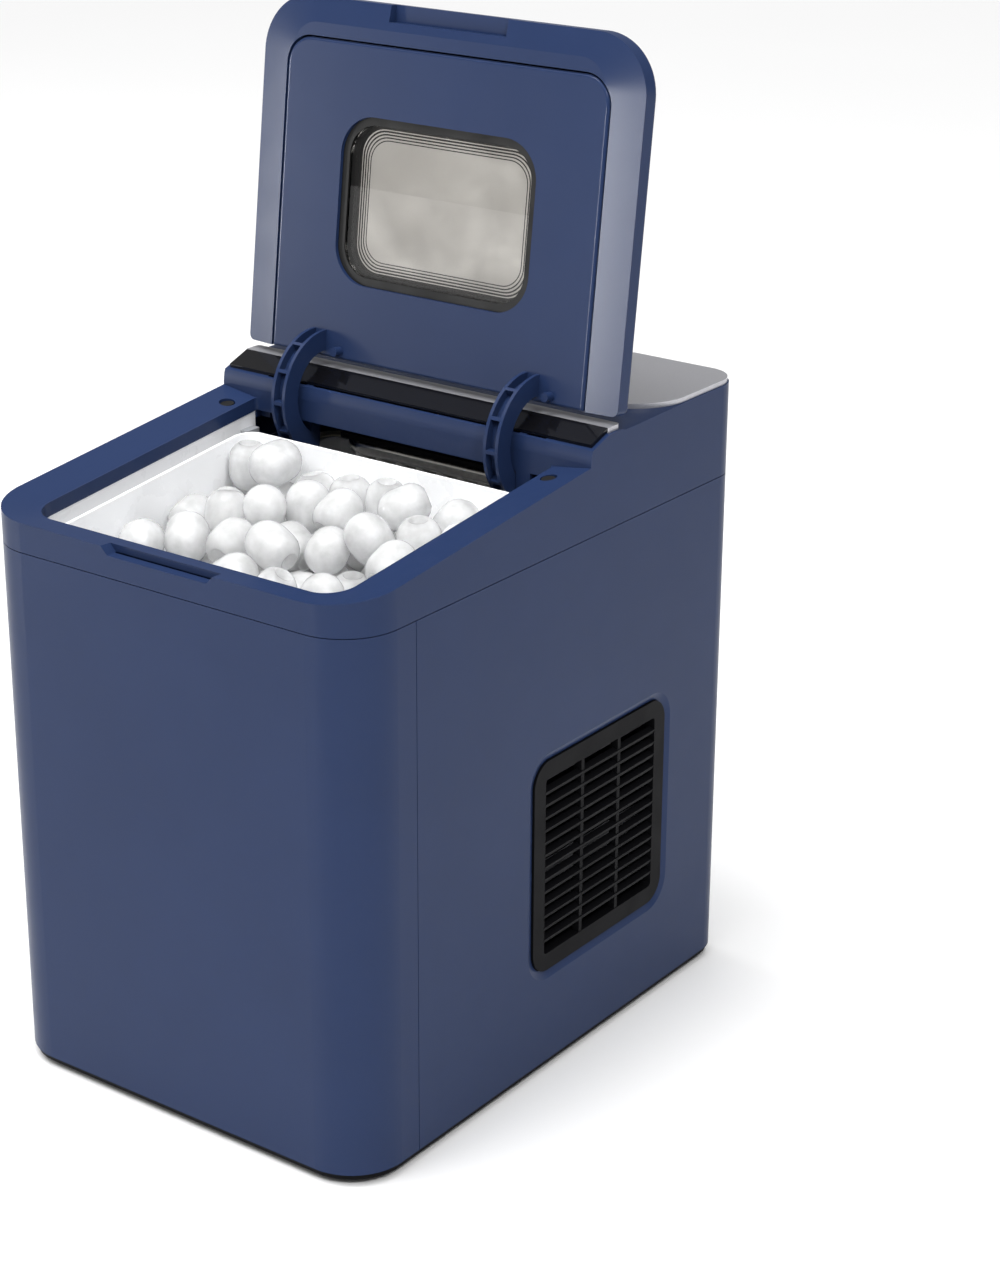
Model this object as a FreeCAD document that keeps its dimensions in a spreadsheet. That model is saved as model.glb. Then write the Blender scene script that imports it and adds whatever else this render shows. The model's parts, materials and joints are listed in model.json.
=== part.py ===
"""Portable bullet-ice maker: a parametric assembly.

Frame: origin under the middle of the body, X to the right, Y to the rear, Z up, in millimetres.
The lid is drawn in its own frame, closed and level, with the hinge axis as its X axis,
and is then turned about that axis to the open position in which the model rests.
"""
import FreeCAD, Part
import math
import os
import re
import Sketcher

Vector = FreeCAD.Vector
X_AXIS = Vector(1, 0, 0)
Y_AXIS = Vector(0, 1, 0)
Z_AXIS = Vector(0, 0, 1)

# ---------------------------------------------------------------- driving dimensions
SIZES = {
    # body
    "body_width": 222, "body_depth": 300, "body_height": 315.2,
    "front_radius": 28, "rear_radius": 16, "shell_wall": 2.5, "seam_gap": 0.4,
    "foot_height": 3, "foot_radius": 9, "shell_bottom": 6, "seam_height": 266.7,
    "front_wrap": 40.8, "rear_seam_inset": 17,
    # sloping rim, opening and the wall behind it
    "lid_slope": 6.1, "rim_front_height": 282, "rim_width": 21, "front_rim": 13, "rim_dish": 3,
    "wall_setback": 170.8, "skirt_height": 9.5, "opening_radius": 14, "notch_half": 36,
    "bumper_radius": 4, "bumper_setback": 157, "bumper_inset": 14,
    # hinge
    "pivot_setback": 188.1, "pivot_drop": 0.5, "wall_arc": 17.3, "lid_open_angle": 103.1,
    "arm_inner": 21, "arm_outer": 31, "arm_place": 64, "arm_width": 8.5, "pin_radius": 2.5,
    "pin_clearance": 0.05, "side_clearance": 0.6,
    # lid
    "lid_thickness": 10.4, "lid_gap": 0.5, "hinge_gap": 0.5, "panel_inset": 16.4, "panel_gap": 0.9,
    "panel_edge_round": 1.5,
    "lid_skin": 2.5, "lid_edge_round": 2.6, "window_half_width": 57.5, "window_half_length": 40.5,
    "window_centre": 78,
    "window_radius": 19, "gasket_width": 4,
    # control housing
    "strip_rise": 4.7, "strip_depth": 13.3, "strip_thickness": 2, "trim_depth": 9.5,
    "plate_thickness": 2.5, "plate_front": 219.5, "plate_inset": 0.8, "plate_radius": 31,
    "button_radius": 7, "button_gap": 0.3, "button_travel": 0.8, "button_place": 24,
    # side grille
    "grille_size": 110, "grille_centre_y": 35, "grille_centre_z": 110.2, "grille_radius": 12,
    "grille_border": 9, "grille_depth": 3.4, "grille_margin": 4, "slat_pitch": 6.45,
    "slat_thickness": 2,
    # tank and basket
    "tank_wall": 2.2, "tank_gap": 0.3, "sump_floor": 60, "tank_floor": 170, "sump_rear": -32,
    "tank_rear": 82.5, "basket_half": 84, "basket_front": -132, "basket_rear": 6,
    "basket_bottom": 186, "basket_wall": 1.8, "basket_drop": 13, "foam_thickness": 6.4,
    # freezing group
    "tray_y": 48, "tray_z": 242, "tray_radius": 24, "tray_wall": 2, "tray_half": 52,
    "finger_radius": 4.5, "header_radius": 5.2, "finger_pitch": 12.5, "finger_bottom": 226, "header_z": 274,
    # cooling group
    "fan_radius": 45, "fan_x": 67, "compressor_x": -35, "compressor_y": 85,
    "compressor_radius": 46,
}
FINGERS = 8
SLATS = 13

# places worked out from the driving dimensions
FRONT = "(-body_depth/2)"
REAR = "(body_depth/2)"
SIDE = "(body_width/2)"
WALL_Y = f"({FRONT}+wall_setback)"
PIVOT_Y = f"({FRONT}+pivot_setback)"
PIVOT_Z = "(rim_front_height+pivot_setback*tan(lid_slope*1deg)-pivot_drop)"
OPENING_SIDE = f"({SIDE}-rim_width)"
OPENING_FRONT = f"({FRONT}+front_rim)"
DECK_Z = "(body_height-plate_thickness)"
CEILING_Z = f"({DECK_Z}-shell_wall)"
STRIP_LOW_Y = f"({PIVOT_Y}-14.8)"
STRIP_LOW_Z = f"({DECK_Z}+plate_thickness-strip_rise)"
STRIP_HIGH_Y = f"({STRIP_LOW_Y}+strip_depth)"
SHELL_TOP = "(seam_height-seam_gap)"
LID_EDGE = "(wall_arc+hinge_gap)"
LID_LENGTH = f"(pivot_setback/cos(lid_slope*1deg)-{LID_EDGE})"
LID_TOP = "(lid_gap+lid_thickness)"
PANEL_FACE = "(pivot_drop-rim_dish+lid_gap)"
WINDOW_Y = f"(-{LID_EDGE}-window_centre)"
GRILLE_FACE = f"({SIDE}-0.4)"
SWITCH_GAP = 0.1
# feet, cord gland and drain
FOOT_INSET_X = 26
FOOT_INSET_Y = 30
FEET = [(f"{sx}*({SIDE}-{FOOT_INSET_X})", f"{sy}*({REAR}-{FOOT_INSET_Y})") for sx in (-1, 1)
        for sy in (-1, 1)]
CORD_X = 62
CORD_Z = 34
CORD_RADIUS = 9
DRAIN_Y = -80
DRAIN_Z = 74
DRAIN_RADIUS = 13
# collar, housing and what sits in its deck
WALL_BOTTOM = f"({PIVOT_Z}-10.6)"
REAR_LOW_TOP = 287
UPPER_HALF = 84
BUTTON_Y = 108
LENS_Y = 88
LUG_THICKNESS = 4
LUG_REACH = 8
SHOULDER_DROP = 20
BOARD_TOP = f"({CEILING_Z}-8)"
SWITCH_TOP = f"({BOARD_TOP}+4)"
# tank, freezing group and compressor tubes
TANK_HALF = f"({OPENING_SIDE}+3)"
TANK_FRONT = f"({OPENING_FRONT}-3)"
TANK_RADIUS = "(opening_radius+3)"
TANK_TOP = 262
STUB_END = "(tray_half+tray_wall+14)"
STUB_TOP = 144
DISCHARGE_Z = 154

# ---------------------------------------------------------------- document and helpers
doc = FreeCAD.newDocument("IceMaker")
sheet = doc.addObject("Spreadsheet::Sheet", "Dims")
for row, (alias, size) in enumerate(SIZES.items(), start=1):
    sheet.set(f"A{row}", alias)
    sheet.set(f"B{row}", str(size))
    sheet.setAlias(f"B{row}", alias)
doc.recompute()

parts = {}


def bound(text):
    """A formula in the sheet's words, pointed at the sheet's cells."""
    return re.sub(r"[a-z_]+", lambda m: "Dims." + m.group() if m.group() in SIZES else m.group(), str(text))


def number(text):
    """The value that a formula has now."""
    return float(sheet.evalExpression(str(text)))


def bind(item, **sizes):
    for name, text in sizes.items():
        item.setExpression(name, bound(text))


def move(item, x=0, y=0, z=0):
    for axis, text in zip("xyz", (x, y, z)):
        item.setExpression(f"Placement.Base.{axis}", bound(text))
    return item


def turn(item, axis, angle):
    """Turn an item about an axis through its own origin; the angle is a formula in degrees."""
    item.Placement = FreeCAD.Placement(item.Placement.Base, FreeCAD.Rotation(axis, 30))
    item.setExpression("Placement.Rotation.Angle", bound(angle))
    return item


def box(name, x, y, z):
    """A box between two formulas on each axis."""
    item = doc.addObject("Part::Box", name)
    bind(item, Length=f"({x[1]})-({x[0]})", Width=f"({y[1]})-({y[0]})", Height=f"({z[1]})-({z[0]})")
    return move(item, x[0], y[0], z[0])


def rod(name, axis, radius, start, end, a, b):
    """A cylinder along X, Y or Z from start to end, centred on a, b in the other two axes."""
    item = doc.addObject("Part::Cylinder", name)
    bind(item, Radius=radius, Height=f"({end})-({start})")
    if axis == "x":
        item.Placement = FreeCAD.Placement(Vector(), FreeCAD.Rotation(Y_AXIS, 90))
        return move(item, start, a, b)
    if axis == "y":
        item.Placement = FreeCAD.Placement(Vector(), FreeCAD.Rotation(X_AXIS, -90))
        return move(item, a, start, b)
    return move(item, a, b, start)


def fuse(name, shapes):
    item = doc.addObject("Part::MultiFuse", name)
    item.Shapes = shapes
    item.Refine = True
    return item


def cut(name, base, tools):
    item = doc.addObject("Part::Cut", name)
    item.Base = base
    item.Tool = tools[0] if len(tools) == 1 else fuse(name + "_tools", tools)
    return item


def common(name, first, second):
    item = doc.addObject("Part::Common", name)
    item.Base = first
    item.Tool = second
    return item


def pipe(name, axis, outer, inner, start, end, a, b):
    return cut(name, rod(name + "_outer", axis, outer, start, end, a, b),
               [rod(name + "_bore", axis, inner, f"({start})-1", f"({end})+1", a, b)])


def keep(name, item):
    """Name an item as a finished sub-part."""
    item.Label = name
    parts[name] = item
    return item


def rounded_outline(sketch, x, y, low_radius, high_radius):
    """A rectangle with round corners: one radius at its low edge and one at its high edge."""
    x0, x1, y0, y1 = number(x[0]), number(x[1]), number(y[0]), number(y[1])
    low, high = number(low_radius), number(high_radius)
    corners = [(x1 - low, y0 + low, low, -90), (x1 - high, y1 - high, high, 0),
               (x0 + high, y1 - high, high, 90), (x0 + low, y0 + low, low, 180)]
    lines = [((x0 + low, y0), (x1 - low, y0)), ((x1, y0 + low), (x1, y1 - high)),
             ((x1 - high, y1), (x0 + high, y1)), ((x0, y1 - high), (x0, y0 + low))]
    for (start, end), (cx, cy, radius, angle) in zip(lines, corners):
        sketch.addGeometry(Part.LineSegment(Vector(*start, 0), Vector(*end, 0)), False)
        circle = Part.Circle(Vector(cx, cy, 0), Z_AXIS, radius)
        sketch.addGeometry(Part.ArcOfCircle(circle, math.radians(angle), math.radians(angle + 90)), False)
    for index in range(8):
        sketch.addConstraint(Sketcher.Constraint("Tangent", index, 2, (index + 1) % 8, 1))
    for index, way in zip((0, 2, 4, 6), ("Horizontal", "Vertical") * 2):
        sketch.addConstraint(Sketcher.Constraint(way, index))
    sketch.addConstraint(Sketcher.Constraint("Equal", 1, 7))
    sketch.addConstraint(Sketcher.Constraint("Equal", 3, 5))
    sizes = [("left", "DistanceX", (-1, 1, 6, 1), x[0]), ("right", "DistanceX", (-1, 1, 2, 1), x[1]),
             ("low", "DistanceY", (-1, 1, 0, 1), y[0]), ("high", "DistanceY", (-1, 1, 4, 1), y[1]),
             ("low_radius", "Radius", (1,), low_radius), ("high_radius", "Radius", (3,), high_radius)]
    for alias, kind, places, text in sizes:
        index = sketch.addConstraint(Sketcher.Constraint(kind, *places, number(text)))
        sketch.renameConstraint(index, alias)
        sketch.setExpression("Constraints." + alias, bound(text))


def polygon_outline(sketch, points):
    """A closed outline through points, each coordinate a formula."""
    places = [Vector(number(a), number(b), 0) for a, b in points]
    for index, place in enumerate(places):
        sketch.addGeometry(Part.LineSegment(place, places[(index + 1) % len(places)]), False)
    for index, point in enumerate(points):
        sketch.addConstraint(Sketcher.Constraint("Coincident", index, 2, (index + 1) % len(points), 1))
        for axis, text in zip("XY", point):
            place = sketch.addConstraint(Sketcher.Constraint("Distance" + axis, -1, 1, index, 1,
                                                             number(text)))
            alias = f"point{index}{axis}"
            sketch.renameConstraint(place, alias)
            sketch.setExpression("Constraints." + alias, bound(text))


def padded(name, plane, length, draw, *outline):
    """A body whose sketch on an origin plane is padded by a length along the plane's normal."""
    body = doc.addObject("PartDesign::Body", name)
    sketch = body.newObject("Sketcher::SketchObject", name + "_sketch")
    sketch.AttachmentSupport = [(next(f for f in body.Origin.OriginFeatures if f.Role == plane), "")]
    sketch.MapMode = "FlatFace"
    draw(sketch, *outline)
    pad = body.newObject("PartDesign::Pad", name + "_pad")
    pad.Profile = sketch
    bind(pad, Length=length)
    return body


def slab(name, x, y, z, low_radius, high_radius):
    """A plate with round vertical corners, front radius first."""
    item = padded(name, "XY_Plane", f"({z[1]})-({z[0]})", rounded_outline, x, y, low_radius, high_radius)
    return move(item, 0, 0, z[0])


def side_slab(name, x, y, z, radius):
    """A plate that stands across X, with round corners seen from the side."""
    item = padded(name, "YZ_Plane", f"({x[1]})-({x[0]})", rounded_outline, y, z, radius, radius)
    return move(item, x[0], 0, 0)


def profile(name, x, points):
    """A prism along X through points in the Y-Z plane."""
    item = padded(name, "YZ_Plane", f"({x[1]})-({x[0]})", polygon_outline, points)
    return move(item, x[0], 0, 0)


def rounded_wire(x, y, z, low_radius, high_radius):
    """The wire of a plate with round corners, at a height, from numbers."""
    (x0, x1), (y0, y1) = x, y
    face = Part.makePlane(x1 - x0, y1 - y0, Vector(x0, y0, z))
    solid = face.extrude(Vector(0, 0, 1))
    front = [e for e in solid.Edges if is_upright(e) and e.CenterOfMass.y < (y0 + y1) / 2]
    rear = [e for e in solid.Edges if is_upright(e) and e.CenterOfMass.y > (y0 + y1) / 2]
    solid = solid.makeFillet(low_radius, front)
    rear = [e for e in solid.Edges if is_upright(e) and abs(e.CenterOfMass.y - y1) < 1e-6]
    solid = solid.makeFillet(high_radius, rear)
    bottom = next(f for f in solid.Faces if abs(f.CenterOfMass.z - z) < 1e-6)
    return bottom.OuterWire


def is_upright(edge):
    box_of = edge.BoundBox
    return box_of.XLength < 1e-6 and box_of.YLength < 1e-6


def free_shape(name, shape):
    item = doc.addObject("Part::Feature", name)
    item.Shape = shape
    return item


def tube(name, points, radius, bend):
    """A round bar along straight runs joined by tangent arcs."""
    places = [Vector(*(number(text) for text in point)) for point in points]
    edges = []
    start = places[0]
    for before, corner, after in zip(places, places[1:], places[2:]):
        inward = (before - corner).normalize()
        onward = (after - corner).normalize()
        half = inward.getAngle(onward) / 2
        reach = bend / math.tan(half)
        middle = corner + (inward + onward).normalize() * (bend / math.sin(half) - bend)
        edges.append(Part.LineSegment(start, corner + inward * reach).toShape())
        edges.append(Part.Arc(corner + inward * reach, middle, corner + onward * reach).toShape())
        start = corner + onward * reach
    edges.append(Part.LineSegment(start, places[-1]).toShape())
    path = Part.Wire(edges)
    ring = Part.Wire(Part.makeCircle(radius, places[0], places[1] - places[0]))
    return free_shape(name, path.makePipe(Part.Face(ring)))


def rounded_edges(name, item, radius, chosen):
    """Fillet the edges that a test picks; the radius is a formula."""
    doc.recompute()
    item_fillet = doc.addObject("Part::Fillet", name)
    item_fillet.Base = item
    size = number(radius)
    item_fillet.Edges = [(n, size, size)
                         for n, edge in enumerate(item.Shape.Edges, start=1) if chosen(edge)]
    return item_fillet


def open_lid(item, height="0"):
    """Swing a piece drawn in the lid's frame, at a height there, to the open position."""
    angle = "(lid_slope-lid_open_angle)*1deg"
    turn(item, X_AXIS, "lid_slope-lid_open_angle")
    return move(item, 0, f"{PIVOT_Y}-({height})*sin({angle})", f"{PIVOT_Z}+({height})*cos({angle})")


# ---------------------------------------------------------------- outlines that several parts share
def body_slab(name, inset, z):
    """The body's outline, drawn in by an inset, between two heights."""
    side = f"{SIDE}-({inset})"
    return slab(name, (f"-({side})", side), (f"{FRONT}+({inset})", f"{REAR}-({inset})"), z,
                f"front_radius-({inset})", f"rear_radius-({inset})")


def above_rim(name, lift):
    """Everything above the dished rim surface, raised by a lift, in the lid's frame."""
    ease = number("rim_width") - 1
    dish = number("rim_dish")
    base = number("pivot_drop") + number(lift)
    half = number(OPENING_SIDE) + 1
    rear = number("pivot_setback") + 60
    front = number(f"pivot_setback/cos(lid_slope*1deg)-front_rim") + 1
    corner = number("opening_radius")
    low = rounded_wire((-half, half), (-front, rear), base - dish, corner, corner)
    wide = half + 2 * ease
    high = rounded_wire((-wide, wide), (-front - 2 * ease, rear + 2 * ease), base + dish,
                        corner + 2 * ease, corner + 2 * ease)
    bowl = Part.makeLoft([low, high], True, True)
    far = 400
    cover = Part.makeBox(2 * far, 2 * far, far, Vector(-far, -far, base + dish - 0.01))
    return free_shape(name, bowl.fuse(cover))


def rim_level(name, item):
    """Place an item drawn in the lid's frame where it is when the lid is closed."""
    turn(item, X_AXIS, "lid_slope")
    return move(item, 0, PIVOT_Y, PIVOT_Z)


def sloped_block(name, low, high):
    """A block between two heights above the rim plane, tilted with it."""
    item = doc.addObject("Part::Box", name)
    bind(item, Length=500, Width=500, Height=f"({high})-({low})")
    item.Placement = FreeCAD.Placement(Vector(), FreeCAD.Rotation(X_AXIS, 30))
    item.setExpression("Placement.Rotation.Angle", bound("lid_slope"))
    back = "250"
    lift = f"(pivot_drop+({low}))"
    return move(item, -250, f"{PIVOT_Y}-{back}*cos(lid_slope*1deg)-{lift}*sin(lid_slope*1deg)",
                f"{PIVOT_Z}-{back}*sin(lid_slope*1deg)+{lift}*cos(lid_slope*1deg)")


def opening_slab(name, outset, y_rear, z):
    """The opening's outline, drawn out by an outset."""
    half = f"{OPENING_SIDE}+({outset})"
    return slab(name, (f"-({half})", half), (f"{OPENING_FRONT}-({outset})", y_rear), z,
                f"opening_radius+({outset})", 2)


# ---------------------------------------------------------------- base and feet
def make_base():
    edge = 1.5
    inner = "shell_wall+0.3"
    floor = body_slab("base_floor", edge, ("foot_height", "shell_bottom"))
    ring = body_slab("base_ring", inner, ("shell_bottom", "shell_bottom+10"))
    space = body_slab("base_space", f"{inner}+2", ("shell_bottom", "shell_bottom+11"))
    seats = [rod(f"foot_seat_{i}", "z", 3, 0, "shell_bottom+1", x, y) for i, (x, y) in enumerate(FEET)]
    vents = [box(f"base_vent_{i}", (f"{20 + 12 * i}", f"{26 + 12 * i}"), (10, 60), (0, 20))
             for i in range(5)]
    keep("base_tray",
         cut("base_cut", fuse("base_body", [floor, cut("base_wall", ring, [space])]), seats + vents))
    feet = [fuse(f"foot_{i}", [rod(f"foot_pad_{i}", "z", "foot_radius", 0, "foot_height", x, y),
                               rod(f"foot_plug_{i}", "z", 3, "foot_height", "shell_bottom", x, y)])
            for i, (x, y) in enumerate(FEET)]
    keep("rubber_feet", fuse("feet", feet))


# ---------------------------------------------------------------- casing panels
def shell_ring(name):
    tall = ("shell_bottom", SHELL_TOP)
    more = ("shell_bottom-1", f"{SHELL_TOP}+1")
    return cut(name, body_slab(name + "_outer", 0, tall), [body_slab(name + "_inner", "shell_wall", more)])


def make_casing():
    side_y = f"{FRONT}+front_wrap"
    rear_x = f"{SIDE}-rear_seam_inset"
    tall = (0, 400)
    keep("front_cover", common("front_cover_cut", shell_ring("front_ring"),
                               box("front_part", (-200, 200), (-300, side_y), tall)))
    for name, sign in (("left", -1), ("right", 1)):
        ends = ("0", "200") if sign > 0 else ("-200", "0")
        half = common(f"{name}_half", shell_ring(f"{name}_ring"),
                      box(f"{name}_part", ends, (f"{side_y}+seam_gap", 300), tall))
        rear_gap = box(f"{name}_rear_gap", (f"-({rear_x})", rear_x), (f"{REAR}-20", 300), tall)
        tools = [rear_gap]
        if sign > 0:
            tools += grille_opening()
        else:
            tools.append(rod("drain_hole", "x", DRAIN_RADIUS + 0.4, "-200", "-50", DRAIN_Y, DRAIN_Z))
        keep(f"{name}_side_cover", cut(f"{name}_cover_cut", half, tools))
    plate = box("rear_plate", (f"-({rear_x})+seam_gap", f"{rear_x}-seam_gap"), (f"{REAR}-shell_wall", REAR),
                ("shell_bottom", SHELL_TOP))
    slots = [rear_slot(f"rear_slot_{i}", 40 + 9 * i) for i in range(11)]
    gland = rod("gland_hole", "y", CORD_RADIUS, 100, 200, CORD_X, CORD_Z)
    keep("rear_cover", cut("rear_cover_cut", plate, slots + [gland]))
    gland_ring = pipe("gland_ring", "y", CORD_RADIUS - 0.1, 4, f"{REAR}-8", REAR, CORD_X, CORD_Z)
    flange = pipe("gland_flange", "y", CORD_RADIUS + 2.5, 4, f"{REAR}-shell_wall-2", f"{REAR}-shell_wall",
                  CORD_X, CORD_Z)
    keep("cord_gland", fuse("gland", [gland_ring, flange]))


def rear_slot(name, height):
    """One long vent slot through the rear panel."""
    return box(name, (-70, 30), (f"{REAR}-20", f"{REAR}+1"), (height, height + 4))


def grille_box(extra):
    half = f"(grille_size/2+({extra}))"
    return ((f"grille_centre_y-{half}", f"grille_centre_y+{half}"),
            (f"grille_centre_z-{half}", f"grille_centre_z+{half}"))


def grille_opening():
    """A shallow chamfered recess and the opening through its floor."""
    y, z = grille_box("0.3")
    seat = side_slab("grille_seat", (f"{GRILLE_FACE}-grille_depth+1", 200), y, z, "grille_radius+0.3")
    y, z = grille_box("-3")
    through = side_slab("grille_through", (50, 200), y, z, "grille_radius-3")
    reach = number("grille_size") / 2
    margin = number("grille_margin")
    middle = Vector(number(SIDE), number("grille_centre_y"), number("grille_centre_z"))
    depth = 1.6
    wires = [rounded_wire((-r, r), (-r, r), h, c, c) for r, h, c in (
        (reach + 0.3, -depth, number("grille_radius")),
        (reach + 0.3 + 2 * margin, depth, number("grille_radius") + 2 * margin))]
    cone = free_shape("grille_chamfer", Part.makeLoft(wires, True, True))
    cone.Placement = FreeCAD.Placement(middle, FreeCAD.Rotation(Y_AXIS, 90))
    return [seat, through, cone]


def make_grille():
    y, z = grille_box("0")
    x = (f"{GRILLE_FACE}-grille_depth", GRILLE_FACE)
    frame = side_slab("grille_frame", x, y, z, "grille_radius")
    y, z = grille_box("-grille_border")
    hole = side_slab("grille_hole", (f"{GRILLE_FACE}-20", f"{GRILLE_FACE}+1"), y, z, 2)
    plug_y, plug_z = grille_box("-3.3")
    plug = side_slab("grille_plug", (f"{GRILLE_FACE}-grille_depth-2.4", f"{GRILLE_FACE}-grille_depth+0.1"),
                     plug_y, plug_z, "grille_radius-3.3")
    bars = []
    inside = "(grille_size/2-grille_border)"
    for i in range(SLATS):
        middle = f"grille_centre_z+({i}-{(SLATS - 1) / 2})*slat_pitch"
        bar = doc.addObject("Part::Box", f"slat_{i}")
        bind(bar, Length="grille_depth", Width=f"2*{inside}+1", Height="slat_thickness")
        turn(bar, Y_AXIS, 18)
        bars.append(move(bar, f"{GRILLE_FACE}-grille_depth-0.3", f"grille_centre_y-{inside}-0.5", middle))
    for sign in (-1, 1):
        at = f"grille_centre_y+({sign})*{inside}/3"
        bars.append(box(f"mullion_{sign + 1}", (f"{GRILLE_FACE}-grille_depth-1", f"{GRILLE_FACE}-0.3"),
                        (f"{at}-1.2", f"{at}+1.2"),
                        (f"grille_centre_z-{inside}-0.5", f"grille_centre_z+{inside}+0.5")))
    ring = cut("grille_ring", fuse("grille_body", [frame, plug]), [hole])
    keep("side_grille", fuse("grille", [ring] + bars))


# ---------------------------------------------------------------- collar
def make_collar():
    block = body_slab("collar_block", 0, ("seam_height", DECK_Z))
    ahead = box("ahead_of_wall", (-200, 200), (-300, WALL_Y), (0, 500))
    rim_space = common("rim_space", rim_level("rim", above_rim("rim_form", 0)), ahead)
    opening = opening_slab("opening", 0, WALL_Y, ("seam_height-1", 400))
    under_wall = box("under_wall", (f"-{OPENING_SIDE}", OPENING_SIDE),
                     (f"{WALL_Y}-20", f"{WALL_Y}+shell_wall+1"),
                     ("seam_height-1", WALL_BOTTOM))
    hollow = common("ring_hollow", body_slab("hollow_slab", "shell_wall", ("seam_height-1", 400)),
                    common("hollow_front", sloped_block("hollow_depth", -90, "-rim_dish-shell_wall"),
                           box("hollow_ahead", (-200, 200), (-300, WALL_Y), (0, 500))))
    skirt = common("skirt", opening_slab("skirt_slab", "shell_wall", 60, ("seam_height-1", 400)),
                   sloped_block("skirt_depth", "-skirt_height", 60))
    rear_low = box("rear_low", (f"-{SIDE}+shell_wall", f"{SIDE}-shell_wall"),
                   (f"{WALL_Y}-1", f"{REAR}-shell_wall"),
                   ("seam_height-1", REAR_LOW_TOP))
    rear_low_round = common("rear_low_round", rear_low,
                            body_slab("rear_low_slab", "shell_wall", ("seam_height-2", 400)))
    rear_high = box("rear_high", (-UPPER_HALF, UPPER_HALF), (f"{WALL_Y}+shell_wall", f"{REAR}-12"),
                    (f"{REAR_LOW_TOP}-1", CEILING_Z))
    arc_zone = box("arc_zone", (-200, 200), (f"{WALL_Y}-10", PIVOT_Y), (PIVOT_Z, f"{PIVOT_Z}+40"))
    arc_space = cut("arc_space", arc_zone, [rod("wall_arc", "x", "wall_arc", -210, 210, PIVOT_Y, PIVOT_Z)])
    slope = f"(strip_rise/strip_depth)"
    seat_low = f"({STRIP_LOW_Z}-strip_thickness-{slope}*20)"
    strip_space = profile("strip_space", (-200, 200), [
        (f"{STRIP_LOW_Y}-20", seat_low), (STRIP_HIGH_Y, f"{STRIP_LOW_Z}-strip_thickness+strip_rise"),
        (STRIP_HIGH_Y, 400), (f"{STRIP_LOW_Y}-20", 400)])
    notch = notch_block("rim_notch", 5)
    bumper_holes = [bumper(f"bumper_hole_{i}", sign, "bumper_radius", -5, 10)
                    for i, sign in enumerate((-1, 1))]
    stems = [rod(f"stem_hole_{i}", "z", 4, f"{CEILING_Z}-1", f"{DECK_Z}+1", f"({sign})*button_place",
                 BUTTON_Y)
             for i, sign in enumerate((-1, 1))]
    cups = [rod(f"lens_hole_{i}", "z", 1.6, f"{CEILING_Z}-1", f"{DECK_Z}+1", 12 * (i - 1), LENS_Y)
            for i in range(3)]
    inner = cut("inner_spaces", hollow, [skirt])
    shell = cut("collar_shell", block,
                [rim_space, opening, under_wall, inner, rear_low_round, rear_high, arc_space,
                                        strip_space, notch, shoulder_cut()] + bumper_holes + stems + cups)
    lugs = [lug for side in (-1, 1) for lug in hinge_lugs(side)]
    whole = fuse("collar_lugs", [shell] + lugs)
    bores = [rod(f"lug_bore_{i}", "x", "pin_radius", f"({s})*arm_place-12", f"({s})*arm_place+12", PIVOT_Y,
                 PIVOT_Z)
             for i, s in enumerate((-1, 1))]
    keep("top_collar", cut("collar_bored", whole, bores + [strip_space]))


def hinge_lugs(side):
    """The two plates that hold one hinge pin, hung from the housing's front wall and ceiling."""
    gap = "(arm_width/2+side_clearance)"
    ends = [(f"({side})*arm_place-{gap}-{LUG_THICKNESS}", f"({side})*arm_place-{gap}"),
            (f"({side})*arm_place+{gap}", f"({side})*arm_place+{gap}+{LUG_THICKNESS}")]
    lugs = [box(f"lug_{side + 1}_{i}", end, (f"{WALL_Y}+1.5", f"{PIVOT_Y}+{LUG_REACH}"),
                (f"{PIVOT_Z}-{LUG_REACH}", f"{CEILING_Z}+0.5")) for i, end in enumerate(ends)]
    ear = ends[0] if side < 0 else ends[1]
    tongue = box(f"ear_{side + 1}",
                 (f"{ear[0]}-{4 if side < 0 else 0}", f"{ear[1]}+{4 if side > 0 else 0}"),
                 (WALL_Y, f"{WALL_Y}+3.5"), (f"{WALL_BOTTOM}-8", f"{WALL_BOTTOM}+6"))
    tip = rod(f"ear_tip_{side + 1}", "y", "(arm_width-0.5)/2", WALL_Y, f"{WALL_Y}+3.5",
              f"({ear[0]}+{ear[1]})/2+({side})*2", f"{WALL_BOTTOM}-8")
    return lugs + [tongue, tip]


def shoulder_wire(outer, front, radius, rear, level):
    """The outline of the housing's front, with round corners, at a height that depends on y."""
    def place(x, y):
        return Vector(x, y, level(y))

    bite = radius * math.sin(math.radians(45))
    flat, start = outer - radius, front + radius
    right = Part.Arc(place(flat, front), place(flat + bite, start - bite), place(outer, start))
    left = Part.Arc(place(-outer, start), place(-flat - bite, start - bite), place(-flat, front))
    lines = [Part.LineSegment(place(-flat, front), place(flat, front)), right,
             Part.LineSegment(place(outer, start), place(outer, rear)),
             Part.LineSegment(place(outer, rear), place(-outer, rear)),
             Part.LineSegment(place(-outer, rear), place(-outer, start)), left]
    return Part.Wire([line.toShape() for line in lines])


def shoulder_cut():
    """What is taken off the shoulders: they are square at the strip and round below the top plate."""
    deck = number(DECK_Z)
    side = number(SIDE)
    radius = number("plate_inset+plate_radius")
    middle = number(f"{FRONT}+plate_front+plate_radius")
    front = number(f"{STRIP_HIGH_Y}+trim_depth") + 0.6
    rear = middle + 5
    slope = SHOULDER_DROP / (rear - front)
    core = Part.makeLoft([shoulder_wire(side + 0.5, front, 3, rear + 30,
                                        lambda y: deck - 0.4 - slope * (y - front)),
                          shoulder_wire(side, middle - radius, radius, rear + 30, lambda y: deck)], True,
                          True)
    zone = profile("shoulder_zone", (-200, 200), [(front, deck - 0.4), (rear, deck - 0.4 - SHOULDER_DROP),
                                                  (rear, 400), (front, 400)])
    return cut("shoulders", zone, [free_shape("shoulder_core", core)])


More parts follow.
